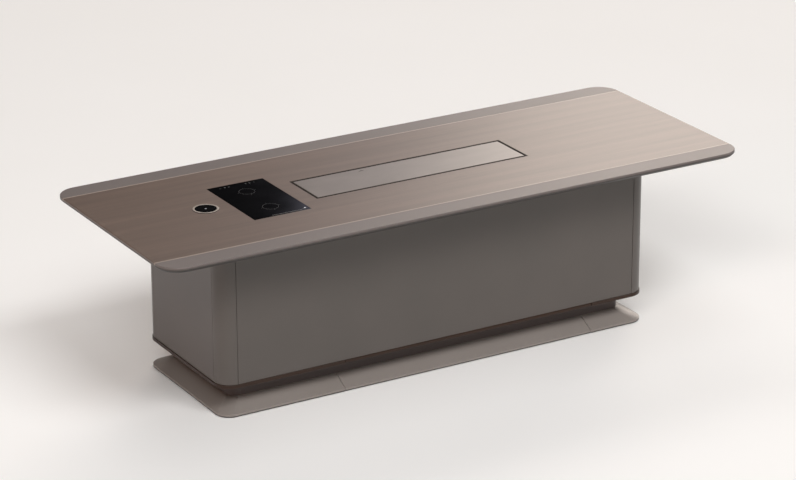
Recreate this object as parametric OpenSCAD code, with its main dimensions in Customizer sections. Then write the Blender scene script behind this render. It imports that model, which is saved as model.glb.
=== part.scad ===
// Reception tea table: a long cabinet table with a tea tray, a hob and a lifting socket in its top.
// Millimetres. X runs along the table, Y from the visitor's side to the host's side, Z is up.
// The origin is on the floor, under the middle of the top.

/* [Top] */
// Length of the top
top_len = 2600; // [2400:10:3000]
// Depth of the top
top_depth = 1000; // [940:10:1200]
// Height of the top's upper face above the floor
top_height = 750; // [720:5:800]
// Thickness of the top with its veneer
top_thick = 22; // [20:1:32]
// Plan radius of the top's four corners
top_corner_r = 90; // [40:1:92]
// Width of the lacquered strip along each long edge
strip_w = 96; // [94:1:150]
// Chamfer under the edge all round the top
edge_chamfer = 9; // [2:0.5:12]
// Small bevel on the upper edge all round the top
edge_bevel = 1.5; // [0.5:0.1:3]
// Bevel on each strip where it meets the veneer
joint_bevel = 1.2; // [0.4:0.1:3]
// Thickness of the veneered face panel
veneer_thick = 1; // [0.5:0.1:2]

/* [Cabinet] */
// How far the top reaches past the cabinet at each end
end_overhang = 320; // [200:5:350]
// How far the top reaches past the cabinet on the visitor's side
front_overhang = 207; // [160:1:250]
// How far the top reaches past the cabinet on the host's side
back_overhang = 143; // [100:1:200]
// Radius of the quarter-round corner posts
post_r = 70; // [50:1:80]
// Width of the shadow groove between a corner post and the panel beside it
groove_w = 1.2; // [0.6:0.2:4]
// Depth of the shadow groove
groove_d = 4; // [2:0.5:8]
// Thickness of panels, partitions, doors and drawer fronts
panel_thick = 18; // [16:0.5:20]
// Thickness of the base board
base_thick = 13; // [12:0.5:18]
// How far the base board stands proud of the cabinet all round
base_proud = 3; // [0.5:0.5:6]
// Clear opening of the hob bay, from the corner post to the middle of the first partition
hob_bay_w = 410; // [400:1:440]
// Spacing of the partitions on both sides of the bucket bay
bucket_bay_w = 470; // [430:1:500]
// Spacing of the partitions on both sides of the drawer bay
drawer_bay_w = 470; // [430:1:500]
// Height of the shelf's upper face above the base board
shelf_height = 300; // [150:5:420]
// Gap between the shelf and what stands beside it
shelf_gap = 1.5; // [0.5:0.5:4]
// Height of the rail over the doors and of the cleats under the top
rail_h = 25; // [22:1:50]

/* [Plinth] */
// Height of the foot slab
foot_h = 50; // [40:1:70]
// Height of the upright edge round the foot slab
foot_edge = 10; // [5:0.5:20]
// Plan radius of the foot slab's corners
foot_corner_r = 62; // [45:1:90]
// How far the foot slab reaches past the cabinet at each end and side
foot_proud = 0.5; // [0:0.5:20]
// Height of the recessed neck
neck_h = 69; // [50:1:90]
// How far the neck stands back from the cabinet's ends
neck_end_inset = 71; // [60:1:90]
// How far the neck stands back from the cabinet's long sides
neck_side_inset = 76; // [60:1:90]
// Plan radius of the neck's corners
neck_corner_r = 47; // [30:1:60]
// Thickness of the neck's boards and ribs
neck_board = 18; // [15:1:25]
// Distance of the left seam in foot and base board from the cabinet's left end
left_section = 540; // [520:1:700]
// Distance of the right seam in foot and base board from the cabinet's right end
right_section = 266; // [200:1:400]
// Width of each seam
seam_gap = 2; // [0.4:0.1:3]
// Radius of the glides
glide_r = 20; // [12:1:26]
// Height of the glides under the foot slab
glide_h = 3; // [2:0.5:8]
// Distance of each glide's middle from the end of its foot section
glide_inset = 60; // [50:1:90]
// Radius of the cable hole through the foot slab
foot_hole_r = 40; // [30:1:60]
// Radius of the cable passage through the grommet
grommet_bore_r = 25; // [15:0.5:30]
// Wall of the grommet's sleeve
grommet_wall = 5; // [2:0.5:8]
// How far the grommet's flange reaches past its sleeve
grommet_lip = 5; // [3:0.5:10]
// Thickness of the grommet's flange
grommet_flange = 3; // [2:0.5:5]
// Distance of the cable hole from the middle of the first partition
cable_setback = 200; // [120:5:300]

/* [Tray] */
// Length of the tray over its frame
tray_len = 972; // [800:1:1040]
// Width of the tray over its frame
tray_w = 226; // [180:1:280]
// Distance from the first partition's middle to the tray
tray_gap = 46; // [30:1:80]
// Distance of the tray's middle from the middle of the top
tray_y = 5; // [-20:1:40]
// Thickness of the lift-out slab
slab_thick = 14.5; // [12:0.5:16]
// Drain gap all round the slab
slab_gap = 2; // [1:0.5:4]
// Visible width of the frame
frame_flange = 10; // [4:0.5:12]
// Thickness of the frame's flange and ledge
frame_thick = 3; // [2:0.5:4]
// Thickness of the frame's leg
frame_leg = 2; // [1.5:0.5:3]
// How far the ledge reaches inwards under the slab
frame_ledge = 14; // [10:1:20]
// Sheet thickness of the drain pan
pan_sheet = 1.5; // [0.8:0.1:2]
// Depth of the drain pan over all
pan_depth = 31.5; // [25:0.5:40]
// Outer radius of the drain spigot
spigot_r = 9; // [7:0.5:12]
// Radius of the drain spigot's passage
spigot_bore_r = 7; // [4:0.5:8]
// Length of the spigot below its nut
spigot_len = 28; // [20:1:40]
// Distance of the spigot from the tray's left end
spigot_setback = 150; // [80:5:300]

/* [Hob] */
// Size of the hob's glass along the table
hob_w = 248; // [220:1:260]
// Size of the hob's glass across the table
hob_l = 402; // [360:1:440]
// Distance of the hob's middle from the middle of the top
hob_y = 8; // [-20:1:40]
// Gap between the hob's glass and the first partition's face, seen from above
hob_clear = 16; // [6:1:30]
// Thickness of the hob's glass
hob_glass_thick = 4; // [3:0.5:6]
// How far the hob's housing stands back under the glass
hob_ledge = 6; // [4:0.5:10]
// Depth of the hob's housing
hob_depth = 54; // [45:1:70]
// Outer radius of each induction coil
coil_r = 84; // [60:1:90]
// Inner radius of each induction coil
coil_eye_r = 22; // [12:1:40]
// Thickness of each induction coil
coil_thick = 6; // [3:0.5:8]

/* [Socket] */
// Outer radius of the socket's flange
socket_flange_r = 52.5; // [50:0.5:60]
// Height of the socket's flange above the top
socket_flange_h = 2; // [1:0.5:4]
// Gap between the hob's glass and the socket's flange
socket_gap = 51.5; // [20:0.5:60]
// Distance of the socket from the middle of the top
socket_y = 12; // [-40:1:60]
// Outer radius of the socket's sleeve
sleeve_r = 45; // [40:0.5:46]
// Wall of the socket's sleeve
sleeve_wall = 1.6; // [1:0.1:3]
// Depth of the sleeve below the flange
sleeve_depth = 230; // [200:5:300]
// Gap between the tower and the sleeve
tower_gap = 0.9; // [0.5:0.1:2]
// Thickness of the tower's cap
cap_thick = 5; // [3:0.5:8]
// Size of each outlet plate
outlet_size = 44; // [36:1:44]
// Height of the nut that clamps the sleeve
socket_nut_h = 12; // [8:1:20]

/* [Doors and drawers] */
// Gap between doors and fronts
door_gap = 3; // [2:0.5:5]
// Gap above and below doors and fronts
door_play = 2; // [1.8:0.1:4]
// Radius of the door's pivot pins
pivot_r = 4; // [3:0.5:5]
// Length of each pivot pin inside its door
pivot_reach = 18; // [12:1:30]
// Length of a pull
pull_len = 160; // [80:5:240]
// How far a pull stands out
pull_depth = 20; // [14:1:30]
// Distance of a door's pull from the door's free edge
pull_inset = 40; // [25:1:80]
// Room between a drawer box and the front panel
drawer_back_room = 164; // [40:2:260]
// Height of a drawer box
drawer_h = 180; // [100:5:220]
// Thickness of a drawer's sides and back
drawer_wall = 12; // [9:0.5:16]
// Thickness of a drawer's bottom
drawer_bottom = 8; // [4:0.5:12]
// Height of a drawer box above the lower edge of its front
drawer_rise = 40; // [20:1:60]
// Space for the runner on each side of a drawer box
runner_space = 13; // [12.5:0.5:16]

/* [Hidden] */

$fn = 64;

// Overrun of every cut past the face that it opens
overrun = 1;
// Gap between a fixed piece and the hole it stands in
seat_gap = 0.5;
// Radial clearance of a pin in its hole
pin_gap = 0.05;
// Running gap between a seated piece and what it lies against
touch_gap = 0.3;

// Heights above the floor
foot_top = glide_h + foot_h;
neck_top = foot_top + neck_h;
base_top = neck_top + base_thick;
top_under = top_height - top_thick;
body_h = top_under - base_top;

// Plan of the cabinet and of what carries it
body_len = top_len - 2 * end_overhang;
body_depth = top_depth - front_overhang - back_overhang;
body_shift = (front_overhang - back_overhang) / 2;
post_x = body_len / 2 - post_r;
body_front = body_shift - body_depth / 2;
body_back = body_shift + body_depth / 2;
inner_front = body_front + panel_thick;
inner_back = body_back - panel_thick;
end_face = body_len / 2 - panel_thick;
base_len = body_len + 2 * base_proud;
base_depth = body_depth + 2 * base_proud;
foot_len = body_len + 2 * foot_proud;
foot_depth = body_depth + 2 * foot_proud;
neck_len = body_len - 2 * neck_end_inset;
neck_depth = body_depth - 2 * neck_side_inset;
neck_block_x = neck_len / 2 - neck_corner_r;
seam_x = [left_section - body_len / 2, body_len / 2 - right_section];
section_limits = [-foot_len, seam_x[0], seam_x[1], foot_len];
foot_ends = [-foot_len / 2, seam_x[0], seam_x[1], foot_len / 2];

// Middles of the partitions
partition_x = [-post_x + hob_bay_w, -post_x + hob_bay_w + bucket_bay_w,
    -post_x + hob_bay_w + bucket_bay_w + drawer_bay_w];
bay_edges = [-post_x, partition_x[0], partition_x[1], partition_x[2], post_x];

// Tray, from the slab down
tray_x = partition_x[0] + tray_gap + tray_len / 2;
slab_inset = frame_flange + slab_gap;
slab_z = top_height - slab_thick;
ledge_top = slab_z - pan_sheet;
ledge_z = ledge_top - frame_thick;
leg_inset = frame_flange - frame_leg;
pan_wall_inset = frame_flange + frame_ledge + 2 * seat_gap;
pan_bottom = slab_z - pan_depth;
spigot_x = tray_x - tray_len / 2 + spigot_setback;
spigot_flange_r = 2 * spigot_r;
spigot_flange_h = 2;
spigot_nut_h = 8;
spigot_nut_r = 16;
spigot_end = pan_bottom - spigot_nut_h - spigot_len;

// Hob, left of the first partition
hob_x = partition_x[0] - panel_thick / 2 - hob_clear - hob_w / 2;
glass_z = top_height - hob_glass_thick;
housing_z = glass_z - hob_depth;
coil_y = hob_l / 4 - hob_ledge / 2;
coil_pocket_r = coil_r + seat_gap;

// Socket, left of the hob
socket_x = hob_x - hob_w / 2 - socket_gap - socket_flange_r;
sleeve_z = top_height - sleeve_depth;
sleeve_floor = 6;
tower_r = sleeve_r - sleeve_wall - tower_gap;
tower_z = sleeve_z + sleeve_floor;
cap_top = top_height + socket_flange_h - seat_gap;
cap_z = cap_top - cap_thick;
outlet_thick = 3;
outlet_gap = 8;
outlet_slot = 1.8;
outlet_slot_len = 7;
outlet_slot_spread = 6;
outlet_face = sqrt(pow(tower_r, 2) - pow(outlet_size / 2, 2)) - outlet_thick;
socket_nut_r = socket_flange_r + 3;

// Doors and drawers
door_z = base_top + door_play;
door_h = top_under - rail_h - door_play - door_z;
door_round = panel_thick / 2;
pivot_y = body_back - door_round;
pivot_x = [bay_edges[0] + door_gap / 2 + door_round, bay_edges[1] + door_gap / 2 + door_round,
    bay_edges[4] - door_gap / 2 - door_round];
pivot_washer_r = 2 * pivot_r;
pivot_washer_h = door_play - touch_gap;
pivot_seat = 9;
pull_stem = 7;
pull_head = 14;
pull_lip = 6;
drawer_front_h = (door_h - door_gap) / 2;
drawer_z = [door_z + drawer_front_h + door_gap, door_z];
drawer_x = (partition_x[1] + partition_x[2]) / 2;
drawer_depth = inner_back - inner_front - drawer_back_room;
drawer_bay = drawer_bay_w - panel_thick;
drawer_box_w = drawer_bay - 2 * runner_space;
runner_h = 45;
runner_wall = 1.5;
runner_depth = 9;
runner_lip = 7.5;
slide_head_h = 40;
slide_head = 4.2;
slide_web_h = 28;
slide_play = 0.7;
slide_len = drawer_depth - 2 * drawer_wall;

// Shelf in the right bay
shelf_z = base_top + shelf_height - panel_thick;
shelf_left = partition_x[2] + panel_thick / 2 + shelf_gap;
shelf_right = end_face - shelf_gap;
shelf_front = body_front + post_r + shelf_gap;
shelf_back = body_back - post_r - shelf_gap;
shelf_pin_r = 2.5;
shelf_pin_reach = 8;
shelf_pin_seat = 9;
shelf_pin_inset = 70;

// Cable hole
cable_x = partition_x[0] - cable_setback;
cable_y = body_shift;
grommet_r = grommet_bore_r + grommet_wall;

// Profile of the top's edge, as [inset, height] from below to above
top_edge = [[edge_chamfer, 0], [0, edge_chamfer], [0, top_thick - edge_bevel],
    [edge_bevel, top_thick]];

module move_up(z) {
    translate([0, 0, z])
        children();
}

// A flat rounded rectangle about the origin
module rounded_rect(l, w, r) {
    square([l - 2 * r, w], center = true);
    square([l, w - 2 * r], center = true);
    for (sx = [-1, 1], sy = [-1, 1])
        translate([sx * (l / 2 - r), sy * (w / 2 - r)])
            circle(r = r);
}

// A rectangular ring about the origin
module rect_ring(l, w, wall) {
    difference() {
        square([l, w], center = true);
        square([l - 2 * wall, w - 2 * wall], center = true);
    }
}

// A block given by its low corner and its high corner
module block(low, high) {
    translate(low)
        cube(high - low);
}

// Both sides of a slab that is 2 * half wide and has this edge profile
function both_sides(profile, half) =
    concat([for (p = profile) [half - p[0], p[1]]],
        [for (i = [len(profile) - 1:-1:0]) [profile[i][0] - half, profile[i][1]]]);

// A slab with rounded corners whose edge has this profile all round
module profiled_slab(l, w, r, profile) {
    last = len(profile) - 1;
    rotate([90, 0, 90])
        linear_extrude(l - 2 * r, center = true)
            polygon(both_sides(profile, w / 2));
    rotate([90, 0, 0])
        linear_extrude(w - 2 * r, center = true)
            polygon(both_sides(profile, l / 2));
    for (sx = [-1, 1], sy = [-1, 1])
        translate([sx * (l / 2 - r), sy * (w / 2 - r), 0])
            rotate_extrude()
                polygon(concat([[0, profile[0][1]]], [for (p = profile) [r - p[0], p[1]]],
                    [[0, profile[last][1]]]));
}

// The whole top before it is divided into core, veneer and strips
module whole_top() {
    move_up(top_under)
        profiled_slab(top_len, top_depth, top_corner_r, top_edge);
}

// What the tray, the hob and the socket take out of the top
module top_cutouts() {
    translate([tray_x, tray_y, top_height - frame_thick])
        linear_extrude(frame_thick + overrun)
            square([tray_len + 2 * seat_gap, tray_w + 2 * seat_gap], center = true);
    translate([tray_x, tray_y, top_under - overrun])
        linear_extrude(top_thick)
            square([tray_len - 2 * leg_inset + 2 * seat_gap, tray_w - 2 * leg_inset + 2 * seat_gap],
                center = true);
    translate([hob_x, hob_y, glass_z])
        linear_extrude(hob_glass_thick + overrun)
            square([hob_w + 2 * seat_gap, hob_l + 2 * seat_gap], center = true);
    translate([hob_x, hob_y, top_under - overrun])
        linear_extrude(top_thick)
            square([hob_w - 2 * hob_ledge + 2 * seat_gap, hob_l - 2 * hob_ledge + 2 * seat_gap],
                center = true);
    translate([socket_x, socket_y, top_under - overrun])
        cylinder(r = sleeve_r + seat_gap, h = top_thick + 2 * overrun);
}

// The board between the two long strips
module top_core() {
    side = top_depth / 2 - strip_w;
    color("#8c7a66")
        difference() {
            intersection() {
                whole_top();
                block([-top_len, -side, top_under - overrun],
                    [top_len, side, top_height - veneer_thick]);
            }
            top_cutouts();
        }
}

// The veneered face of the core
module veneer_panel() {
    side = top_depth / 2 - strip_w;
    color("#7d7068")
        difference() {
            intersection() {
                whole_top();
                block([-top_len, -side, top_height - veneer_thick],
                    [top_len, side, top_height + overrun]);
            }
            top_cutouts();
        }
}

// One lacquered strip with its two rounded corners; side is -1 in front and 1 behind
module edge_strip(side) {
    joint = top_depth / 2 - strip_w;
    color("#85807b")
        scale([1, side, 1])
            difference() {
                intersection() {
                    whole_top();
                    block([-top_len, joint, top_under - overrun],
                        [top_len, top_depth, top_height + overrun]);
                }
                translate([0, joint, top_height])
                    rotate([90, 0, 90])
                        linear_extrude(2 * top_len, center = true)
                            polygon([[0, -joint_bevel], [joint_bevel, 0], [0, overrun],
                                [-overrun, 0]]);
            }
}

// The angle-section frame set flush in the top round the tray
module tray_frame() {
    leg_l = tray_len - 2 * leg_inset;
    leg_w = tray_w - 2 * leg_inset;
    color("#3c3230")
        translate([tray_x, tray_y, 0]) {
            move_up(top_height - frame_thick)
                linear_extrude(frame_thick)
                    rect_ring(tray_len, tray_w, frame_flange);
            move_up(ledge_z)
                linear_extrude(top_height - ledge_z)
                    rect_ring(leg_l, leg_w, frame_leg);
            move_up(ledge_z)
                linear_extrude(frame_thick)
                    rect_ring(leg_l, leg_w, frame_leg + frame_ledge);
        }
}

// The slab that lies in the frame and lifts out
module tray_slab() {
    color("#7d7673")
        translate([tray_x, tray_y, slab_z])
            linear_extrude(slab_thick)
                square([tray_len - 2 * slab_inset, tray_w - 2 * slab_inset], center = true);
}

// The pan under the slab, hung in the frame by its flange
module drain_pan() {
    rim = frame_flange + seat_gap;
    wall_l = tray_len - 2 * pan_wall_inset;
    wall_w = tray_w - 2 * pan_wall_inset;
    color("#b8b8b5")
        difference() {
            translate([tray_x, tray_y, 0]) {
                move_up(ledge_top)
                    linear_extrude(pan_sheet)
                        rect_ring(tray_len - 2 * rim, tray_w - 2 * rim, pan_wall_inset - rim + pan_sheet);
                move_up(pan_bottom)
                    linear_extrude(pan_depth)
                        rect_ring(wall_l, wall_w, pan_sheet);
                move_up(pan_bottom)
                    linear_extrude(pan_sheet)
                        square([wall_l, wall_w], center = true);
            }
            translate([spigot_x, tray_y, pan_bottom - overrun])
                cylinder(r = spigot_r + seat_gap, h = pan_sheet + 2 * overrun);
        }
}

// The pan's outlet: a flanged tube with its nut, ready for a hose
module drain_spigot() {
    color("#2b2b2b")
        translate([spigot_x, tray_y, 0])
            difference() {
                union() {
                    move_up(pan_bottom + pan_sheet)
                        cylinder(r = spigot_flange_r, h = spigot_flange_h);
                    move_up(spigot_end)
                        cylinder(r = spigot_r, h = pan_bottom + pan_sheet + spigot_flange_h - spigot_end);
                    move_up(pan_bottom - spigot_nut_h)
                        cylinder(r = spigot_nut_r, h = spigot_nut_h, $fn = 6);
                }
                move_up(spigot_end - overrun)
                    cylinder(r = spigot_bore_r, h = top_height - spigot_end);
            }
}

// The hob's flush glass
module hob_glass() {
    color("#101010")
        translate([hob_x, hob_y, glass_z])
            linear_extrude(hob_glass_thick)
                square([hob_w, hob_l], center = true);
}

// The hob's housing, with a pocket for each coil
module hob_housing() {
    color("#26282a")
        translate([hob_x, hob_y, 0])
            difference() {
                move_up(housing_z)
                    linear_extrude(hob_depth)
                        square([hob_w - 2 * hob_ledge, hob_l - 2 * hob_ledge], center = true);
                for (side = [-1, 1])
                    translate([0, side * coil_y, glass_z - coil_thick - touch_gap])
                        cylinder(r = coil_pocket_r, h = coil_thick + touch_gap + overrun);
            }
}

// The two flat coils under the glass
module hob_coils() {
    color("#b06a3a")
        for (side = [-1, 1])
            translate([hob_x, hob_y + side * coil_y, glass_z - coil_thick - touch_gap])
                difference() {
                    cylinder(r = coil_r, h = coil_thick);
                    move_up(-overrun)
                        cylinder(r = coil_eye_r, h = coil_thick + 2 * overrun);
                }
}

module at_socket() {
    translate([socket_x, socket_y, 0])
        children();
}

// The ring that lies on the top round the socket
module socket_flange() {
    bore = sleeve_r - sleeve_wall;
    bevel = 0.7 * socket_flange_h;
    color("#8a8a88")
        at_socket()
            move_up(top_height)
                rotate_extrude()
                    polygon([[bore, 0], [socket_flange_r, 0], [socket_flange_r, socket_flange_h - bevel],
                        [socket_flange_r - bevel, socket_flange_h], [bore, socket_flange_h]]);
}

// The closed sleeve that the tower sinks into
module socket_sleeve() {
    color("#303236")
        at_socket()
            move_up(sleeve_z)
                difference() {
                    cylinder(r = sleeve_r, h = sleeve_depth);
                    move_up(sleeve_floor)
                        cylinder(r = sleeve_r - sleeve_wall, h = sleeve_depth);
                }
}

// The nut that clamps the sleeve from below
module socket_nut() {
    color("#3a3a3c")
        at_socket()
            move_up(top_under - socket_nut_h)
                difference() {
                    cylinder(r = socket_nut_r, h = socket_nut_h);
                    move_up(-overrun)
                        cylinder(r = sleeve_r + touch_gap, h = socket_nut_h + 2 * overrun);
                }
}

// The lifting tower, flat on the host's side where its outlets are
module socket_tower() {
    color("#1c1c1e")
        at_socket()
            move_up(tower_z)
                difference() {
                    cylinder(r = tower_r, h = cap_z - tower_z);
                    block([-sleeve_r, outlet_face, -overrun], [sleeve_r, sleeve_r, sleeve_depth]);
                }
}

// The tower's round cap
module socket_cap() {
    color("#0c0c0d")
        at_socket()
            move_up(cap_z)
                cylinder(r = tower_r, h = cap_thick);
}

// Three outlet plates on the tower's flat
module socket_outlets() {
    color("#d8d8d4")
        at_socket()
            for (i = [0:2])
                translate([0, outlet_face, cap_z - outlet_gap - outlet_size / 2
                        - i * (outlet_size + outlet_gap)])
                    difference() {
                        block([-outlet_size / 2, 0, -outlet_size / 2],
                            [outlet_size / 2, outlet_thick, outlet_size / 2]);
                        for (turn = [-30, 0, 30])
                            translate([turn == 0 ? 0 : sign(turn) * outlet_slot_spread,
                                    outlet_thick / 2, turn == 0 ? outlet_slot_spread : -outlet_slot_spread])
                                rotate([0, turn, 0])
                                    block([-outlet_slot / 2, 0, -outlet_slot_len / 2],
                                        [outlet_slot / 2, outlet_thick, outlet_slot_len / 2]);
                    }
}

// The plain panel on the visitor's side
module front_panel() {
    color("#5f5b56")
        block([-post_x, body_front, base_top], [post_x, inner_front, top_under]);
}

// An end panel between two posts; side is -1 on the left and 1 on the right
module end_panel(side) {
    color("#625854")
        difference() {
            scale([side, 1, 1])
                block([end_face, body_front + post_r, base_top],
                    [body_len / 2, body_back - post_r, top_under]);
            if (side > 0)
                shelf_pin_holes();
        }
}

// A quarter-round corner post, grooved beside the end panel and, in front, beside the front panel
module post(side_x, side_y) {
    color("#6a605b")
        translate([side_x * post_x, body_shift + side_y * (body_depth / 2 - post_r), base_top])
            scale([side_x, side_y, 1])
                difference() {
                    intersection() {
                        cylinder(r = post_r, h = body_h);
                        cube([post_r, post_r, body_h]);
                    }
                    block([post_r - groove_d, -overrun, -overrun],
                        [post_r + overrun, groove_w, body_h + overrun]);
                    if (side_y < 0)
                        block([-overrun, post_r - groove_d, -overrun],
                            [groove_w, post_r + overrun, body_h + overrun]);
                }
}

// One section of something that the seams cut in three
module section(i) {
    intersection() {
        children();
        block([section_limits[i] + seam_gap / 2, -base_depth, 0],
            [section_limits[i + 1] - seam_gap / 2, base_depth, top_height]);
    }
}

// One section of the dark base board under the cabinet
module base_board(i) {
    color("#2f2620")
        difference() {
            section(i)
                translate([0, body_shift, neck_top])
                    linear_extrude(base_thick)
                        rounded_rect(base_len, base_depth, post_r + base_proud);
            if (i == 0)
                translate([cable_x, cable_y, neck_top - overrun])
                    cylinder(r = grommet_r + touch_gap, h = base_thick + 2 * overrun);
            for (x = pivot_x)
                translate([x, pivot_y, base_top - pivot_seat - seat_gap])
                    cylinder(r = pivot_r + pin_gap, h = pivot_seat + seat_gap + overrun);
        }
}

// Room for the drain pan in the partitions that it crosses
module pan_notch() {
    reach = tray_len / 2 - pan_wall_inset + seat_gap;
    half = tray_w / 2 - pan_wall_inset + seat_gap;
    block([tray_x - reach, tray_y - half, pan_bottom - seat_gap],
        [tray_x + reach, tray_y + half, top_height]);
}

module partition(i) {
    color("#a79b8c")
        difference() {
            block([partition_x[i] - panel_thick / 2, inner_front, base_top],
                [partition_x[i] + panel_thick / 2, inner_back, top_under]);
            pan_notch();
            if (i == 2)
                shelf_pin_holes();
        }
}

// The shelf in the right bay
module shelf() {
    color("#a79b8c")
        block([shelf_left, shelf_front, shelf_z], [shelf_right, shelf_back, shelf_z + panel_thick]);
}

// Places one child at each shelf pin, with X running out of the panel into the bay
module at_shelf_pins() {
    for (y = [shelf_front + shelf_pin_inset, shelf_back - shelf_pin_inset]) {
        translate([partition_x[2] + panel_thick / 2, y, shelf_z - shelf_pin_r])
            rotate([0, 90, 0])
                children();
        translate([end_face, y, shelf_z - shelf_pin_r])
            rotate([0, -90, 0])
                children();
    }
}

module shelf_pin_holes() {
    at_shelf_pins()
        move_up(-shelf_pin_seat - seat_gap)
            cylinder(r = shelf_pin_r + pin_gap, h = shelf_pin_seat + seat_gap + overrun);
}

module shelf_pins() {
    color("#c9c9c6")
        at_shelf_pins()
            move_up(-shelf_pin_seat)
                cylinder(r = shelf_pin_r, h = shelf_pin_seat + shelf_pin_reach);
}

// Room for the hob's housing in a cleat that it reaches on a shallow cabinet
module hob_notch() {
    half_w = hob_w / 2 - hob_ledge + seat_gap;
    half_l = hob_l / 2 - hob_ledge + seat_gap;
    block([hob_x - half_w, hob_y - half_l, housing_z - seat_gap],
        [hob_x + half_w, hob_y + half_l, top_height]);
}

// Cleats that hold the top, one in each bay behind the front panel
module top_cleats() {
    color("#a79b8c")
        difference() {
            for (i = [0:3]) {
                left = bay_edges[i] + (i == 0 ? 0 : panel_thick / 2);
                right = bay_edges[i + 1] - (i == 3 ? 0 : panel_thick / 2);
                block([left, inner_front, top_under - rail_h],
                    [right, inner_front + panel_thick, top_under]);
            }
            hob_notch();
        }
}

// The rail over the doors
module back_rail() {
    color("#5f5b56")
        difference() {
            block([-post_x, inner_back, top_under - rail_h], [post_x, body_back, top_under]);
            for (x = pivot_x)
                translate([x, pivot_y, top_under - rail_h - overrun])
                    cylinder(r = pivot_r + pin_gap, h = pivot_seat + seat_gap + overrun);
        }
}

// A long board of the neck; side is -1 in front and 1 behind
module neck_long_board(side) {
    color("#3a3633")
        translate([0, body_shift, 0])
            scale([1, side, 1])
                block([-neck_block_x, neck_depth / 2 - neck_board, foot_top],
                    [neck_block_x, neck_depth / 2, neck_top]);
}

// An end block of the neck with its two rounded corners; side is -1 on the left and 1 on the right
module neck_end_block(side) {
    color("#3a3633")
        intersection() {
            translate([0, body_shift, foot_top])
                linear_extrude(neck_h)
                    rounded_rect(neck_len, neck_depth, neck_corner_r);
            scale([side, 1, 1])
                block([neck_block_x, -foot_depth, 0], [foot_len, foot_depth, top_height]);
        }
}

// Ribs across the neck: one under each seam and one midway
module neck_ribs() {
    color("#a79b8c")
        for (x = [seam_x[0], (seam_x[0] + seam_x[1]) / 2, seam_x[1]])
            block([x - neck_board / 2, body_shift - neck_depth / 2 + neck_board, foot_top],
                [x + neck_board / 2, body_shift + neck_depth / 2 - neck_board, neck_top]);
}

// One section of the sloping foot slab
module foot(i) {
    color("#85807b")
        difference() {
            section(i)
                translate([0, body_shift, 0])
                    hull() {
                        move_up(glide_h)
                            linear_extrude(foot_edge)
                                rounded_rect(foot_len, foot_depth, foot_corner_r);
                        move_up(foot_top - overrun)
                            linear_extrude(overrun)
                                rounded_rect(neck_len, neck_depth, neck_corner_r);
                    }
            if (i == 0)
                translate([cable_x, cable_y, 0])
                    cylinder(r = foot_hole_r, h = neck_top);
        }
}

// Glides under the foot slab, four to a section
module glides() {
    color("#22201f")
        for (i = [0:2], x = [foot_ends[i] + glide_inset, foot_ends[i + 1] - glide_inset], side = [-1, 1])
            translate([x, body_shift + side * (foot_depth / 2 - glide_inset), 0])
                cylinder(r = glide_r, h = glide_h);
}

// The grommet that the mains lead passes through
module cable_grommet() {
    color("#22201f")
        translate([cable_x, cable_y, 0])
            difference() {
                union() {
                    move_up(neck_top)
                        cylinder(r = grommet_r, h = base_thick);
                    move_up(base_top)
                        cylinder(r = grommet_r + grommet_lip, h = grommet_flange);
                }
                move_up(neck_top - overrun)
                    cylinder(r = grommet_bore_r, h = base_thick + grommet_flange + 2 * overrun);
            }
}

// A door over bay i, turning on its rounded edge; side is -1 where that edge is on the left
module door(i, pivot, side) {
    left = bay_edges[i] + door_gap / 2 + (side < 0 ? door_round : 0);
    right = bay_edges[i + 1] - door_gap / 2 - (side > 0 ? door_round : 0);
    color("#5f5b56")
        difference() {
            union() {
                block([left, inner_back, door_z], [right, body_back, door_z + door_h]);
                translate([pivot_x[pivot], pivot_y, door_z])
                    cylinder(r = door_round, h = door_h);
            }
            for (z = [door_z - overrun, door_z + door_h - pivot_reach - seat_gap])
                translate([pivot_x[pivot], pivot_y, z])
                    cylinder(r = pivot_r + pin_gap, h = pivot_reach + seat_gap + overrun);
        }
}

// A T-section bar pull along Z, standing out along Y from the origin
module pull() {
    color("#3a3836")
        linear_extrude(pull_len, center = true)
            polygon([[-pull_stem / 2, 0], [pull_stem / 2, 0],
                [pull_stem / 2, pull_depth - pull_lip], [pull_head / 2, pull_depth - pull_lip],
                [pull_head / 2, pull_depth], [-pull_head / 2, pull_depth],
                [-pull_head / 2, pull_depth - pull_lip], [-pull_stem / 2, pull_depth - pull_lip]]);
}

module door_pull(x) {
    translate([x, body_back, door_z + door_h / 2])
        pull();
}

// A washered pin under and over each door
module door_pivots() {
    color("#9a9a96")
        for (x = pivot_x)
            translate([x, pivot_y, 0]) {
                move_up(base_top)
                    cylinder(r = pivot_washer_r, h = pivot_washer_h);
                move_up(base_top - pivot_seat)
                    cylinder(r = pivot_r, h = pivot_seat + door_play + pivot_reach);
                move_up(top_under - rail_h - pivot_washer_h)
                    cylinder(r = pivot_washer_r, h = pivot_washer_h);
                move_up(top_under - rail_h - door_play - pivot_reach)
                    cylinder(r = pivot_r, h = pivot_reach + door_play + pivot_seat);
            }
}

module drawer_front(i) {
    color("#5f5b56")
        block([bay_edges[2] + door_gap / 2, inner_back, drawer_z[i]],
            [bay_edges[3] - door_gap / 2, body_back, drawer_z[i] + drawer_front_h]);
}

// An open box behind the drawer's front
module drawer_box(i) {
    half = drawer_box_w / 2;
    floor_z = drawer_z[i] + drawer_rise;
    color("#b8ad9d")
        difference() {
            block([drawer_x - half, inner_back - drawer_depth, floor_z],
                [drawer_x + half, inner_back, floor_z + drawer_h]);
            block([drawer_x - half + drawer_wall, inner_back - drawer_depth + drawer_wall,
                    floor_z + drawer_bottom],
                [drawer_x + half - drawer_wall, inner_back - drawer_wall,
                    floor_z + drawer_h + overrun]);
        }
}

module drawer_pull(i) {
    translate([drawer_x, body_back, drawer_z[i] + drawer_front_h / 2])
        rotate([0, 90, 0])
            pull();
}

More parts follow.
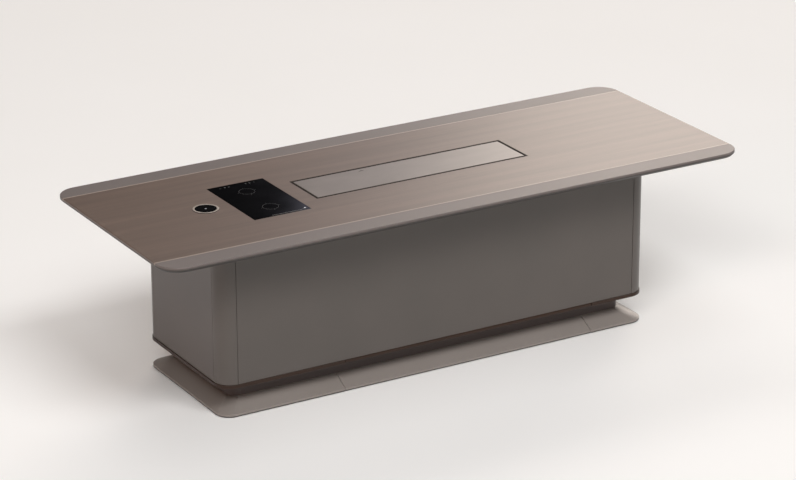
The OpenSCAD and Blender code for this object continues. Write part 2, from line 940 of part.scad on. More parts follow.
// Places one child on each side of drawer i, with X running from the partition to the drawer
module at_runners(i) {
    for (side = [-1, 1])
        translate([drawer_x + side * drawer_bay / 2, inner_back,
                drawer_z[i] + drawer_rise + drawer_h / 2])
            scale([-side, 1, 1])
                rotate([90, 0, 0])
                    children();
}

// The sliding members, fixed to the drawer's sides
module drawer_slides(i) {
    head_x = runner_wall + slide_play;
    color("#b9bab8")
        at_runners(i)
            move_up(slide_play)
                linear_extrude(slide_len) {
                    translate([head_x, -slide_head_h / 2])
                        square([slide_head, slide_head_h]);
                    translate([head_x, -slide_web_h / 2])
                        square([runner_space - head_x, slide_web_h]);
                }
}

// The channels fixed to the partitions, a pair for each drawer
module drawer_runners() {
    color("#8f908e")
        for (i = [0, 1])
            at_runners(i)
                move_up(slide_play)
                    linear_extrude(slide_len)
                        difference() {
                            translate([0, -runner_h / 2])
                                square([runner_depth, runner_h]);
                            translate([runner_wall, -runner_h / 2 + runner_wall])
                                square([runner_depth - 2 * runner_wall, runner_h - 2 * runner_wall]);
                            translate([runner_wall, -runner_h / 2 + runner_lip])
                                square([runner_depth, runner_h - 2 * runner_lip]);
                        }
}

top_core();
veneer_panel();
edge_strip(-1);  // edge_strip_front
edge_strip(1);  // edge_strip_back
tray_frame();
tray_slab();
drain_pan();
drain_spigot();
hob_glass();
hob_housing();
hob_coils();
socket_flange();
socket_sleeve();
socket_nut();
socket_tower();
socket_cap();
socket_outlets();
front_panel();
end_panel(-1);  // left_end_panel
end_panel(1);  // right_end_panel
post(-1, -1);  // front_left_post
post(1, -1);  // front_right_post
post(-1, 1);  // back_left_post
post(1, 1);  // back_right_post
base_board(0);  // base_board_left
base_board(1);  // base_board_centre
base_board(2);  // base_board_right
partition(0);  // left_partition
partition(1);  // middle_partition
partition(2);  // right_partition
shelf();
shelf_pins();
top_cleats();
back_rail();
neck_long_board(-1);  // neck_front_board
neck_long_board(1);  // neck_back_board
neck_end_block(-1);  // neck_left_block
neck_end_block(1);  // neck_right_block
neck_ribs();
foot(0);  // foot_left
foot(1);  // foot_centre
foot(2);  // foot_right
glides();
cable_grommet();
door(0, 0, -1);  // left_door
door(1, 1, -1);  // centre_door
door(3, 2, 1);  // right_door
door_pull(bay_edges[1] - pull_inset);  // left_door_pull
door_pull(bay_edges[2] - pull_inset);  // centre_door_pull
door_pull(bay_edges[3] + pull_inset);  // right_door_pull
door_pivots();
drawer_front(0);  // upper_drawer_front
drawer_box(0);  // upper_drawer_box
drawer_pull(0);  // upper_drawer_pull
drawer_slides(0);  // upper_drawer_slides
drawer_front(1);  // lower_drawer_front
drawer_box(1);  // lower_drawer_box
drawer_pull(1);  // lower_drawer_pull
drawer_slides(1);  // lower_drawer_slides
drawer_runners();
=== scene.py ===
# Reception tea table: a long lacquered cabinet on a recessed neck and a sloping foot, under a veneered
# top that holds a draining tray, a flush hob and a lifting socket. Metres. X runs along the table, Y from
# the visitor's side to the host's side, Z is up, and the origin is on the floor under the top's middle.
import math
import bmesh
import bpy
from mathutils import Matrix, Vector


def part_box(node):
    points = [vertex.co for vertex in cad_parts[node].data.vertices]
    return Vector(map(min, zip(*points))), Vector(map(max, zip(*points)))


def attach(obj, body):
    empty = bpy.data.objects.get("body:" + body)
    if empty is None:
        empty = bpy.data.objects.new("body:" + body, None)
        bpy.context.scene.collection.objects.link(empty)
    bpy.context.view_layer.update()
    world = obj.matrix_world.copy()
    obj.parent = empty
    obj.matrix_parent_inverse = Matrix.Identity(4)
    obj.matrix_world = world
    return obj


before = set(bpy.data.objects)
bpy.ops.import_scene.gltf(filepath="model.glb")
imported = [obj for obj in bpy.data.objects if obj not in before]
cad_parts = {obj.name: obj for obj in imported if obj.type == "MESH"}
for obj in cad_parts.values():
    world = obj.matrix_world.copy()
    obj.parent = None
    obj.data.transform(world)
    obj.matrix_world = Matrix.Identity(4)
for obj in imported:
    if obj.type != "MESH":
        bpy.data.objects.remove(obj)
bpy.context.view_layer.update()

# Camera. It stands at the visitor's side, left of the table and well above it, as the photograph's does.
# Its place, turn and focal length come from the table's own straight edges in the picture.
camera_place = Vector((-5.96771, -10.15696, 4.96389))
camera_yaw = math.radians(30.32)
camera_pitch = math.radians(20.95)
camera_roll = math.radians(-0.23)
camera_data = bpy.data.cameras.new("camera")
camera_data.sensor_fit = "HORIZONTAL"
camera_data.sensor_width = 36
camera_data.lens = 142.29
camera_data.clip_end = 200
camera = bpy.data.objects.new("camera", camera_data)
turn = Matrix.Rotation(-camera_yaw, 4, "Z")
tilt = Matrix.Rotation(math.radians(90) - camera_pitch, 4, "X")
roll = Matrix.Rotation(camera_roll, 4, "Z")
camera.matrix_world = Matrix.Translation(camera_place) @ turn @ tilt @ roll
bpy.context.scene.collection.objects.link(camera)
bpy.context.scene.camera = camera
bpy.context.scene.view_settings.view_transform = "Standard"


# Floor. A plain pale studio floor, matt, so that it shows a soft shadow and no reflection.
# It reaches past everything that the camera sees.
def srgb(code):
    """The linear colour of an sRGB hex code, fully opaque."""
    channels = [int(code[i:i + 2], 16) / 255 for i in (1, 3, 5)]
    linear = [c / 12.92 if c <= 0.04045 else ((c + 0.055) / 1.055) ** 2.4 for c in channels]
    return (*linear, 1.0)


def add(tree, kind, settings=None, links=None):
    """Adds one node: settings are its properties or its sockets' values, links say what feeds its sockets."""
    node = tree.nodes.new(kind)
    for name, value in (settings or {}).items():
        if isinstance(name, int) or name in node.inputs:
            node.inputs[name].default_value = value
        else:
            setattr(node, name, value)
    for name, source in (links or {}).items():
        tree.links.new(source, node.inputs[name])
    return node


def start_material(name, values):
    """A material with one Principled shader; gives it, its tree, the shader and the place on the piece."""
    material = bpy.data.materials.new(name)
    material.use_nodes = True
    tree = material.node_tree
    tree.nodes.clear()
    shader = add(tree, "ShaderNodeBsdfPrincipled", values)
    add(tree, "ShaderNodeOutputMaterial", {}, {"Surface": shader.outputs["BSDF"]})
    place = add(tree, "ShaderNodeTexCoord").outputs["Object"]
    return material, tree, shader, place


def two_tone(tree, colour, light_colour, share):
    """A colour between two hex codes, by a share from 0 to 1."""
    mix = add(tree, "ShaderNodeMix", {"data_type": "RGBA", 6: srgb(colour), 7: srgb(light_colour)},
              {0: share})
    return mix.outputs[2]


def mesh_object(name, bm, material):
    """Turns a bmesh into an object in the scene."""
    mesh = bpy.data.meshes.new(name)
    bm.to_mesh(mesh)
    bm.free()
    mesh.materials.append(material)
    piece = bpy.data.objects.new(name, mesh)
    bpy.context.scene.collection.objects.link(piece)
    return piece


floor_half = 40.0
floor_paper, floor_tree, floor_shader, floor_at = start_material(
    "floor_paper", {"Roughness": 0.95, "IOR": 1.3})
floor_mottle = add(floor_tree, "ShaderNodeTexNoise", {"Scale": 0.8, "Detail": 2.0}, {"Vector": floor_at})
floor_colour = two_tone(floor_tree, "#f8f7f5", "#fbfaf9", floor_mottle.outputs[0])
floor_tree.links.new(floor_colour, floor_shader.inputs["Base Color"])
floor_mesh = bmesh.new()
bmesh.ops.create_grid(floor_mesh, x_segments=4, y_segments=4, size=floor_half)
floor = mesh_object("floor", floor_mesh, floor_paper)


# Light. Softboxes far off, so that both ends of the table get the same light: a key and a high one on the
# visitor's side, weaker ones round the other sides, a broad one low behind the right end for the sheen on
# the top, and a faint fringe that greys the hob's glass. Angles run from +X towards +Y and up.
def softbox(name, azimuth, elevation, wide, high, radiance, tint):
    """A rectangular light of an even radiance, seen from the table as so many degrees wide and high."""
    distance = 24.0
    aim = Vector((0, 0, 0.6))
    turn_away, turn_up = math.radians(azimuth), math.radians(elevation)
    out = Vector((math.cos(turn_up) * math.cos(turn_away), math.cos(turn_up) * math.sin(turn_away),
                  math.sin(turn_up)))
    data = bpy.data.lights.new(name, "AREA")
    data.shape = "RECTANGLE"
    data.size = 2 * distance * math.tan(math.radians(wide / 2))
    data.size_y = 2 * distance * math.tan(math.radians(high / 2))
    data.energy = radiance * math.pi * data.size * data.size_y
    data.color = srgb(tint)[:3]
    light = bpy.data.objects.new(name, data)
    light.visible_camera = False
    facing = (-out).to_track_quat("-Z", "Y").to_matrix().to_4x4()
    light.matrix_world = Matrix.Translation(aim + out * distance) @ facing
    bpy.context.scene.collection.objects.link(light)


softbox("key_light", 228, 39, 35, 12, 9.1, "#fffefc")
softbox("front_light", 275, 39, 39, 12, 1.9, "#ffffff")
softbox("high_light", 275, 52, 31, 14, 9.8, "#ffffff")
softbox("top_light", 260, 67, 23, 16, 2.1, "#ffffff")
softbox("zenith_light", 0, 90, 27, 27, 1.2, "#ffffff")
softbox("back_light", 72, 45, 35, 14, 3.4, "#fff8f3")
softbox("left_light", 200, 13, 18, 26, 2.1, "#ffb086")
softbox("sheen_light", 44, 19, 26, 34, 3.8, "#fff3e9")
softbox("fringe_light", 60.8, 20, 3.4, 24, 0.6, "#e2dff2")
world = bpy.data.worlds.new("surround")
world.use_nodes = True
world.node_tree.nodes.clear()
surround = add(world.node_tree, "ShaderNodeBackground", {"Color": srgb("#e8e8ea"), "Strength": 0.02})
add(world.node_tree, "ShaderNodeOutputWorld", {}, {"Surface": surround.outputs[0]})
bpy.context.scene.world = world


# Foot. A slab of fibreboard in three lengths, sloped on top and sprayed with satin lacquer. The sections
# butt together with a fine open seam and are screwed up into the neck.
def noise(tree, place, sizes_mm, detail=2.0, roughness=0.5):
    """Cloudy noise whose patches have these sizes in millimetres along X, Y and Z."""
    per_metre = tuple(1000 / size for size in sizes_mm)
    at = add(tree, "ShaderNodeVectorMath", {"operation": "MULTIPLY", 1: per_metre}, {0: place})
    cloud = add(tree, "ShaderNodeTexNoise", {"Scale": 1.0, "Detail": detail, "Roughness": roughness},
                {"Vector": at.outputs[0]})
    return cloud.outputs[0]


def spread(tree, value, from_low, from_high, to_low=0.0, to_high=1.0):
    """Maps one range of a value on to another, held at both ends."""
    ranges = {"From Min": from_low, "From Max": from_high, "To Min": to_low, "To Max": to_high}
    return add(tree, "ShaderNodeMapRange", ranges, {"Value": value}).outputs[0]


def set_gloss(tree, shader, pattern, smooth, dull):
    """Lets the roughness follow a pattern between two values."""
    tree.links.new(spread(tree, pattern, 0.0, 1.0, smooth, dull), shader.inputs["Roughness"])


def emboss(tree, shader, pattern, strength):
    """Turns a pattern into a bump 0.1 mm deep."""
    bump = add(tree, "ShaderNodeBump", {"Strength": strength, "Distance": 0.0001}, {"Height": pattern})
    tree.links.new(bump.outputs[0], shader.inputs["Normal"])


def paint_shade_below(tree, place, colour, height, fade):
    """Mixes a colour with a painted shade: a dark colour below a height, standing for the shadow under an
    edge.
    """
    level = add(tree, "ShaderNodeSeparateXYZ", {}, {0: place})
    share = spread(tree, level.outputs["Z"], height + fade, height - fade)
    shaded = add(tree, "ShaderNodeMix", {"data_type": "RGBA", 7: srgb("#2b2724")}, {0: share, 6: colour})
    return shaded.outputs[2]


def lacquer(name, colour, light_colour, roughness, ior=1.5, wear_and_highlight=0.35, wear_and_highlight_reach=0.0025,
            painted_shade_height=-1.0, painted_shade_fade=0.0005):
    """Sprayed polyurethane lacquer over fibreboard: an even colour with a soft, broad sheen."""
    material, tree, shader, place = start_material(name, {"IOR": ior})
    # Slow drift of tone from coat to coat, about 350 mm long
    drift = noise(tree, place, (350, 350, 350), 3.0)
    # The flattening agent shows as a fine mottle; its 0.05 mm grains are drawn 3 mm wide to show
    fleck = noise(tree, place, (3, 3, 3))
    fleck_weight = 0.35
    tone = add(tree, "ShaderNodeMath", {"operation": "MULTIPLY_ADD", 1: fleck_weight}, {0: fleck, 2: drift})
    flat = two_tone(tree, colour, light_colour, spread(tree, tone.outputs[0], 0.4, 0.95))
    # The edges are drawn paler: a painted highlight along each arris, with some polish from hands and cloths
    round_normal = add(tree, "ShaderNodeBevel", {"samples": 6, "Radius": wear_and_highlight_reach})
    true_normal = add(tree, "ShaderNodeNewGeometry")
    turned = add(tree, "ShaderNodeVectorMath", {"operation": "DOT_PRODUCT"},
                 {0: round_normal.outputs[0], 1: true_normal.outputs["Normal"]})
    worn_and_highlit = spread(tree, turned.outputs["Value"], 0.98, 0.85, 0.0, wear_and_highlight)
    final = add(tree, "ShaderNodeMix", {"data_type": "RGBA", "blend_type": "SCREEN", 7: srgb("#6a6560")},
                {0: worn_and_highlit, 6: flat})
    # Painted shade: below a given height the colour turns dark, for the shadow under the piece's edge
    shaded = paint_shade_below(tree, place, final.outputs[2], painted_shade_height, painted_shade_fade)
    tree.links.new(shaded, shader.inputs["Base Color"])
    set_gloss(tree, shader, drift, roughness - 0.04, roughness + 0.04)
    # Orange peel of the spray, 6 mm from crest to crest
    emboss(tree, shader, noise(tree, place, (6, 6, 6), 1.0), 0.25)
    return material


merge_corners = bpy.data.node_groups.new("merge_corners", "GeometryNodeTree")
merge_corners.interface.new_socket("Geometry", in_out="INPUT", socket_type="NodeSocketGeometry")
merge_corners.interface.new_socket("Geometry", in_out="OUTPUT", socket_type="NodeSocketGeometry")
whole = add(merge_corners, "NodeGroupInput")
plain = add(merge_corners, "GeometryNodeRemoveAttribute", {"Name": "custom_normal"}, {0: whole.outputs[0]})
merged = add(merge_corners, "GeometryNodeMergeByDistance", {"Distance": 0.00001}, {0: plain.outputs[0]})
smooth = add(merge_corners, "GeometryNodeSetShadeSmooth", {}, {0: merged.outputs[0]})
add(merge_corners, "NodeGroupOutput", {}, {0: smooth.outputs[0]})


def round_edges(piece, rounding, steps=2):
    """Rounds a piece's edges, and joins its triangles so that flat faces stay flat and round ones smooth."""
    sharpest_left = math.radians(25)
    piece.modifiers.new("merge_corners", "NODES").node_group = merge_corners
    edge = piece.modifiers.new("rounded_edges", "BEVEL")
    edge.width = rounding
    edge.segments = steps
    edge.limit_method = "ANGLE"
    edge.angle_limit = sharpest_left
    edge.harden_normals = True


def dress(names, material, rounding, steps=2):
    """Gives CAD nodes their finish and the small rounding that their real edges have."""
    for name in names:
        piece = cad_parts[name]
        for slot in piece.material_slots:
            slot.material = material
        round_edges(piece, rounding, steps)


# Painted shade darkens the foot's bottom edge up to this height, and a strong painted highlight runs along
# its arris.
foot_painted_shade_height = 0.0055
# The foot's lacquer is drawn lighter than the cabinet's: painted light, for the light its sloped top catches.
foot_lacquer = lacquer("foot_lacquer", "#857e79", "#8b847f", 0.36, wear_and_highlight=0.8, wear_and_highlight_reach=0.003,
                       painted_shade_height=foot_painted_shade_height)
dress(["foot_left", "foot_centre", "foot_right"], foot_lacquer, 0.0015)


# Glides. Twelve rubber discs pressed under the foot's sections, so that it stands clear of the floor.
# Only their rims can be seen.
def moulded_rubber(name, colour):
    """Vulcanised rubber: near black, matt, with a dusty bloom."""
    material, tree, shader, place = start_material(name, {"Roughness": 0.85, "IOR": 1.52})
    bloom = noise(tree, place, (12, 12, 12), 4.0)
    tree.links.new(two_tone(tree, colour, "#3c3a38", bloom), shader.inputs["Base Color"])
    return material


dress(["glides"], moulded_rubber("glide_rubber", "#201f1e"), 0.0008)

# Neck. A recessed frame of lacquered fibreboard that carries the cabinet clear of its foot: two long
# boards and two end blocks with rounded corners, with raw board ribs glued across inside.
neck_lacquer = lacquer("neck_lacquer", "#40322e", "#473833", 0.45)
dress(["neck_front_board", "neck_back_board", "neck_left_block", "neck_right_block"], neck_lacquer, 0.0006)


def melamine_board(name, colour, dark_colour, along, grain_mm=9):
    """Particle board faced with a wood-print melamine paper: flat printed grain under an even satin film."""
    material, tree, shader, place = start_material(name, {"Roughness": 0.5, "IOR": 1.48})
    grain_stretch = 55
    sizes = [grain_mm] * 3
    sizes[along] = grain_mm * grain_stretch
    grain = noise(tree, place, sizes, 4.0, 0.6)
    print_tone = two_tone(tree, colour, dark_colour, spread(tree, grain, 0.3, 0.7))
    tree.links.new(print_tone, shader.inputs["Base Color"])
    # The pressing plate's fine texture; its 0.4 mm pits are drawn 1.5 mm wide to show
    emboss(tree, shader, noise(tree, place, (1.5, 1.5, 1.5)), 0.3)
    return material


dress(["neck_ribs"], melamine_board("rib_board", "#a79b8c", "#978b7b", 1), 0.0005)

# Base board. The cabinet's floor, in three lengths like the foot, a little proud of the cabinet all round.
# Its dark lacquered edge is rounded over and reads as a thin line under the grey panels.
base_lacquer = lacquer("base_lacquer", "#2c1c14", "#36241a", 0.4, ior=1.36)
dress(["base_board_left", "base_board_centre", "base_board_right"], base_lacquer, 0.003, 3)


# Cable grommet. A black moulded ring pressed into the base board, where the hob's and the socket's leads
# pass down to the hole in the foot.
def moulded_plastic(name, colour, light_colour, roughness):
    """Injection-moulded plastic, with a fine spark-eroded grain that spreads its highlights."""
    material, tree, shader, place = start_material(name, {"IOR": 1.53})
    # Spark grain of 0.3 mm, drawn 1.2 mm wide to show
    grain = noise(tree, place, (1.2, 1.2, 1.2))
    tree.links.new(two_tone(tree, colour, light_colour, grain), shader.inputs["Base Color"])
    set_gloss(tree, shader, grain, roughness - 0.08, roughness + 0.08)
    emboss(tree, shader, grain, 0.4)
    return material


black_nylon = moulded_plastic("black_nylon", "#19191b", "#2a2a2c", 0.5)
dress(["cable_grommet"], black_nylon, 0.0008)

# Cabinet shell. The front panel and two end panels stand between quarter-round corner posts, all of
# fibreboard sprayed alike; the end panels are drawn a shade warmer and darker as painted light, for the
# warm light on the left end. A fine shadow groove shows where each panel meets its post.
body_lacquer = lacquer("body_lacquer", "#524d49", "#59534f", 0.34)
dress(["front_panel", "front_left_post", "front_right_post", "back_left_post", "back_right_post"],
      body_lacquer, 0.002)
dress(["back_rail"], body_lacquer, 0.001)
# Painted light: the end panels' lacquer is a warmer, darker copy of the body's.
warm_lit_end_lacquer = lacquer("warm_lit_end_lacquer", "#504946", "#574f4b", 0.34)
dress(["left_end_panel", "right_end_panel"], warm_lit_end_lacquer, 0.001)

# Partitions, shelf and cleats. Inner boards of melamine-faced particle board, edged to match, fixed with
# cams and dowels. The shelf lies loose on four steel pins.
upright_melamine = melamine_board("upright_melamine", "#a79b8c", "#988b7a", 2)
dress(["left_partition", "middle_partition", "right_partition"], upright_melamine, 0.0006)
lying_melamine = melamine_board("lying_melamine", "#a79b8c", "#988b7a", 0)
dress(["shelf", "top_cleats"], lying_melamine, 0.0006)


def arc(middle, radius, start, sweep, steps=32):
    """Points along an arc about a point, with its angles in degrees; a full circle ends before it repeats."""
    last = steps if sweep < 360 else steps - 1
    turns = [math.radians(start + sweep * i / steps) for i in range(last + 1)]
    return [(middle[0] + radius * math.cos(t), middle[1] + radius * math.sin(t)) for t in turns]


def cut_plate(outlines, low, high):
    """The mesh of a flat plate between two heights, cut to closed outlines; one inside another is a hole."""
    drawing = bpy.data.curves.new("outline", "CURVE")
    drawing.dimensions = "2D"
    drawing.fill_mode = "BOTH"
    drawing.extrude = (high - low) / 2
    for outline in outlines:
        line = drawing.splines.new("POLY")
        line.points.add(len(outline) - 1)
        for point, (x, y) in zip(line.points, outline):
            point.co = (x, y, 0, 1)
        line.use_cyclic_u = True
    pattern = bpy.data.objects.new("outline", drawing)
    solid = bmesh.new()
    solid.from_mesh(pattern.to_mesh())
    bmesh.ops.remove_doubles(solid, verts=solid.verts, dist=0.000001)
    bmesh.ops.translate(solid, verts=solid.verts, vec=(0, 0, (low + high) / 2))
    bmesh.ops.recalc_face_normals(solid, faces=solid.faces)
    plate = bpy.data.meshes.new("plate")
    solid.to_mesh(plate)
    solid.free()
    bpy.data.objects.remove(pattern)
    return plate


def set_at(place, along, up):
    """Where a small part sits: its X points along one direction, its Y along another."""
    x, y = Vector(along), Vector(up)
    return Matrix.Translation(place) @ Matrix((x, y, x.cross(y))).transposed().to_4x4()


def fit(name, plates, places, material, body, rounding=0):
    """One piece made of the same plates at each of several places, fixed to a body."""
    whole = bmesh.new()
    for place in places:
        for plate in plates:
            start = len(whole.verts)
            whole.from_mesh(plate)
            whole.verts.ensure_lookup_table()
            bmesh.ops.transform(whole, matrix=place, verts=whole.verts[start:])
    piece = mesh_object(name, whole, material)
    if rounding:
        round_edges(piece, rounding)
    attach(piece, body)


# Cam caps. Thin plastic covers, in the boards' own colour, pressed over the fittings that draw the
# partitions to the base board and the top; they show on the face towards each open bay.
as_drawn = [Matrix.Identity(4)]
cam_cap_radius, cam_cap_thick = 0.0085, 0.0008
cam_cap_from_front, cam_cap_from_back, cam_cap_from_end = 0.09, 0.06, 0.034
cam_cap = cut_plate([arc((0, 0), cam_cap_radius, 0, 360)], 0, cam_cap_thick)
cam_cap_places = []
for board, side in (("left_partition", -1), ("middle_partition", -1), ("right_partition", 1)):
    low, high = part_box(board)
    for y in (low.y + cam_cap_from_front, high.y - cam_cap_from_back):
        for z in (low.z + cam_cap_from_end, high.z - cam_cap_from_end):
            cam_cap_places.append(set_at((high.x if side > 0 else low.x, y, z), (0, 1, 0), (0, 0, side)))
fit("cam_caps", [cam_cap], cam_cap_places, melamine_board("cap_plastic", "#9c907f", "#93866f", 2, 3),
    "cabinet", 0.0003)


def cloudy_metal(name, colour, light_colour, roughness):
    """Plated or drawn metal left as it comes: clouded in tone, with a soft blurred reflection."""
    material, tree, shader, place = start_material(name, {"Metallic": 1.0})
    cloud = noise(tree, place, (14, 14, 14), 5.0)
    tree.links.new(two_tone(tree, colour, light_colour, cloud), shader.inputs["Base Color"])
    set_gloss(tree, shader, cloud, roughness - 0.08, roughness + 0.1)
    return material


zinc_steel = cloudy_metal("zinc_steel", "#b4b5b4", "#d5d3cb", 0.34)
dress(["shelf_pins"], zinc_steel, 0.0004)

# Doors. Lacquered fibreboard leaves that turn on pins let into the base board and the rail; the edge at the
# pins is rounded so that it clears its neighbour.
dress(["left_door", "centre_door", "right_door"], body_lacquer, 0.001)
dress(["door_pivots"], zinc_steel, 0.0004)


def anodised_bar(name, colour, light_colour, along, roughness, painted_shade_top=-1.0):
    """Brushed and anodised aluminium: a metallic sheen, streaked along its length; painted shade below a
    height.
    """
    material, tree, shader, place = start_material(name, {"Metallic": 1.0})
    # Brush lines of 0.1 mm, drawn 0.8 mm wide to show
    sizes = [0.8] * 3
    sizes[along] = 60
    brush = noise(tree, place, sizes, 3.0)
    bar_with_shade = paint_shade_below(tree, place, two_tone(tree, colour, light_colour, brush), painted_shade_top, 0.0001)
    tree.links.new(bar_with_shade, shader.inputs["Base Color"])
    set_gloss(tree, shader, brush, roughness - 0.06, roughness + 0.08)
    emboss(tree, shader, brush, 0.15)
    return material


# Pulls. Slim T-section aluminium bars, anodised dark and screwed on from behind: upright on the doors,
# level on the drawers.
upright_bar = anodised_bar("upright_anodised_bar", "#3a3836", "#5f5c59", 2, 0.36)
dress(["left_door_pull", "centre_door_pull", "right_door_pull"], upright_bar, 0.0008)
level_bar = anodised_bar("level_anodised_bar", "#3a3836", "#5f5c59", 0, 0.36)
dress(["upper_drawer_pull", "lower_drawer_pull"], level_bar, 0.0008)


# Pull screws. Two zinc-plated pan-head machine screws with a cross recess hold each pull from inside the
# door or the drawer.
def cross(middle, reach, half_line):
    """The outline of an upright cross about a point."""
    far, near = reach, half_line
    corners = ((near, near), (far, near), (far, -near), (near, -near), (near, -far), (-near, -far),
               (-near, -near), (-far, -near), (-far, near), (-near, near), (-near, far), (near, far))
    return [(middle[0] + x, middle[1] + y) for x, y in corners]


screw_spacing = 0.128
head_radius, head_high = 0.0045, 0.0024
recess_reach, recess_half, recess_floor = 0.0024, 0.0005, 0.001
recess = cross((0, 0), recess_reach, recess_half)
screw_head = [cut_plate([arc((0, 0), head_radius, 0, 360)], 0, recess_floor),
              cut_plate([arc((0, 0), head_radius, 0, 360), recess], recess_floor, head_high)]
drawer_wall = 0.012
for body, leaf, pull, wall, row in (
        ("left_door", "left_door", "left_door_pull", 0, (0, 0, 1)),
        ("centre_door", "centre_door", "centre_door_pull", 0, (0, 0, 1)),
        ("right_door", "right_door", "right_door_pull", 0, (0, 0, 1)),
        ("upper_drawer", "upper_drawer_front", "upper_drawer_pull", drawer_wall, (1, 0, 0)),
        ("lower_drawer", "lower_drawer_front", "lower_drawer_pull", drawer_wall, (1, 0, 0))):
    low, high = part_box(pull)
    middle = (low + high) / 2
    middle.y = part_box(leaf)[0].y - wall
    places = [set_at(middle + Vector(row) * side * screw_spacing / 2, (1, 0, 0), (0, 0, 1))
              for side in (-1, 1)]
    fit(pull + "_screws", screw_head, places, zinc_steel, body, 0.0003)


# Door catches. A black magnetic catch on the partition beside each door's free edge, with two steel pole
# plates, and a thin steel strike screwed to the door across from it.
def bar(middle, wide, high):
    """The outline of an upright rectangle about a point."""
    x, y = wide / 2, high / 2
    return [(middle[0] + x * i, middle[1] + y * j) for i, j in ((-1, -1), (1, -1), (1, 1), (-1, 1))]


catch_high, catch_deep, catch_wide = 0.046, 0.032, 0.015
strike_wide, strike_high, strike_thick = 0.014, 0.04, 0.001
strike_gap = 0.0003
strike_screw_radius, strike_screw_proud = 0.003, 0.0006
catch_corner = 0.003
catch_body = cut_plate([
    arc((-catch_corner, catch_high / 2 - catch_corner), catch_corner, 0, 90, 6)
    + arc((catch_corner - catch_deep, catch_high / 2 - catch_corner), catch_corner, 90, 90, 6)
    + arc((catch_corner - catch_deep, catch_corner - catch_high / 2), catch_corner, 180, 90, 6)
    + arc((-catch_corner, catch_corner - catch_high / 2), catch_corner, 270, 90, 6)], 0, catch_wide)
pole_high, pole_thick, pole_proud, pole_deep = 0.03, 0.0015, 0.0005, 0.004
pole_starts = (0.004, 0.0095)
pole = bar(((pole_proud - pole_deep) / 2, 0), pole_proud + pole_deep, pole_high)
pole_plates = [cut_plate([pole], z, z + pole_thick) for z in pole_starts]
strike = cut_plate([bar((0, 0), strike_wide, strike_high)], 0, strike_thick)
strike_screw = cut_plate([arc((0, 0), strike_screw_radius, 0, 360, 24)],
                         strike_thick, strike_thick + strike_screw_proud)
catch_places = []
for body, board, side in (("left_door", "left_partition", -1), ("centre_door", "middle_partition", -1),
                          ("right_door", "right_partition", 1)):
    low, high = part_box(board)
    face_x = high.x if side > 0 else low.x
    catch_z = (low.z + high.z) / 2
    catch_y = high.y - strike_thick - strike_gap - pole_proud
    catch_places.append(set_at((face_x, catch_y, catch_z), (0, 1, 0), (0, 0, side)))
    strike_place = set_at((face_x + side * catch_wide / 2, high.y, catch_z), (1, 0, 0), (0, 0, 1))
    fit(body + "_strike", [strike, strike_screw], [strike_place], zinc_steel, body, 0.0002)
fit("catch_bodies", [catch_body], catch_places, black_nylon, "cabinet", 0.0008)
fit("catch_poles", pole_plates, catch_places, zinc_steel, "cabinet", 0.0002)

# Drawers. Each has a lacquered front screwed to an open melamine box, carried on a pair of zinc-plated
# slides in channels on the partitions.
dress(["upper_drawer_front", "lower_drawer_front"], body_lacquer, 0.001)
drawer_melamine = melamine_board("drawer_melamine", "#b8ad9d", "#aca090", 0, 7)
dress(["upper_drawer_box", "lower_drawer_box"], drawer_melamine, 0.0006)
dress(["upper_drawer_slides", "lower_drawer_slides", "drawer_runners"], zinc_steel, 0.0003)


# Top. A board faced with straight-grained smoked veneer, edge-banded in the same veneer at its two ends,
# between two grey lacquered strips that carry the rounded corners. Painted shade darkens the chamfer under
# the edge and fades out up the side.
# The painted shade under the edge reaches this far up from the strips' underside.
edge_painted_shade_reach = 0.0135
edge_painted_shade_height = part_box("edge_strip_front")[0].z + edge_painted_shade_reach
edge_painted_shade_fade = 0.0045
joint_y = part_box("veneer_panel")[1].y
joint_highlight_wide, joint_highlight_fade = 0.007, 0.001


def straight_veneer(name, dark, light, roughness):
    """Quarter-cut smoked walnut veneer under satin lacquer: fine straight grain along the table."""
    material, tree, shader, place = start_material(name, {"IOR": 1.5})
    # Broad bands of figure, about 45 mm wide and 900 mm long
    bands = noise(tree, place, (900, 45, 45))
    # Growth lines 6 mm apart
    lines = noise(tree, place, (500, 6, 6), 4.0, 0.65)
    both = add(tree, "ShaderNodeMath", {"operation": "ADD"}, {0: lines, 1: bands})
    wood = two_tone(tree, dark, light, spread(tree, both.outputs[0], 0.6, 1.4))
    # Open pores, 0.3 mm wide on the real veneer and drawn 1.5 mm wide and 60 mm long to show
    pores = noise(tree, place, (60, 1.5, 1.5), 1.0)
    stained = add(tree, "ShaderNodeMix", {"data_type": "RGBA", 7: srgb("#3f352e")},
                  {0: spread(tree, pores, 0.56, 0.70, 0.0, 0.25), 6: wood})
    # A painted highlight: the veneer is drawn paler in a line along its joint with each strip, where the
    # joint catches the light
    across = add(tree, "ShaderNodeSeparateXYZ", {}, {0: place})
    off_middle = add(tree, "ShaderNodeMath", {"operation": "ABSOLUTE"}, {0: across.outputs["Y"]})
    line_start = joint_y - joint_highlight_wide
    at_joint = spread(tree, off_middle.outputs[0], line_start - joint_highlight_fade, line_start + joint_highlight_fade)
    joint_highlit = add(tree, "ShaderNodeMix", {"data_type": "RGBA", 7: srgb("#988a80")},
                 {0: at_joint, 6: stained.outputs[2]})
    # Painted shade under the top's edge, as on the strips
    shaded = paint_shade_below(tree, place, joint_highlit.outputs[2], edge_painted_shade_height, edge_painted_shade_fade)
    tree.links.new(shaded, shader.inputs["Base Color"])
    set_gloss(tree, shader, lines, roughness - 0.02, roughness + 0.03)
    emboss(tree, shader, lines, 0.08)
    return material


smoked_veneer = straight_veneer("smoked_veneer", "#594940", "#6f5d52", 0.335)
for name in ("veneer_panel", "top_core"):
    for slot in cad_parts[name].material_slots:
        slot.material = smoked_veneer
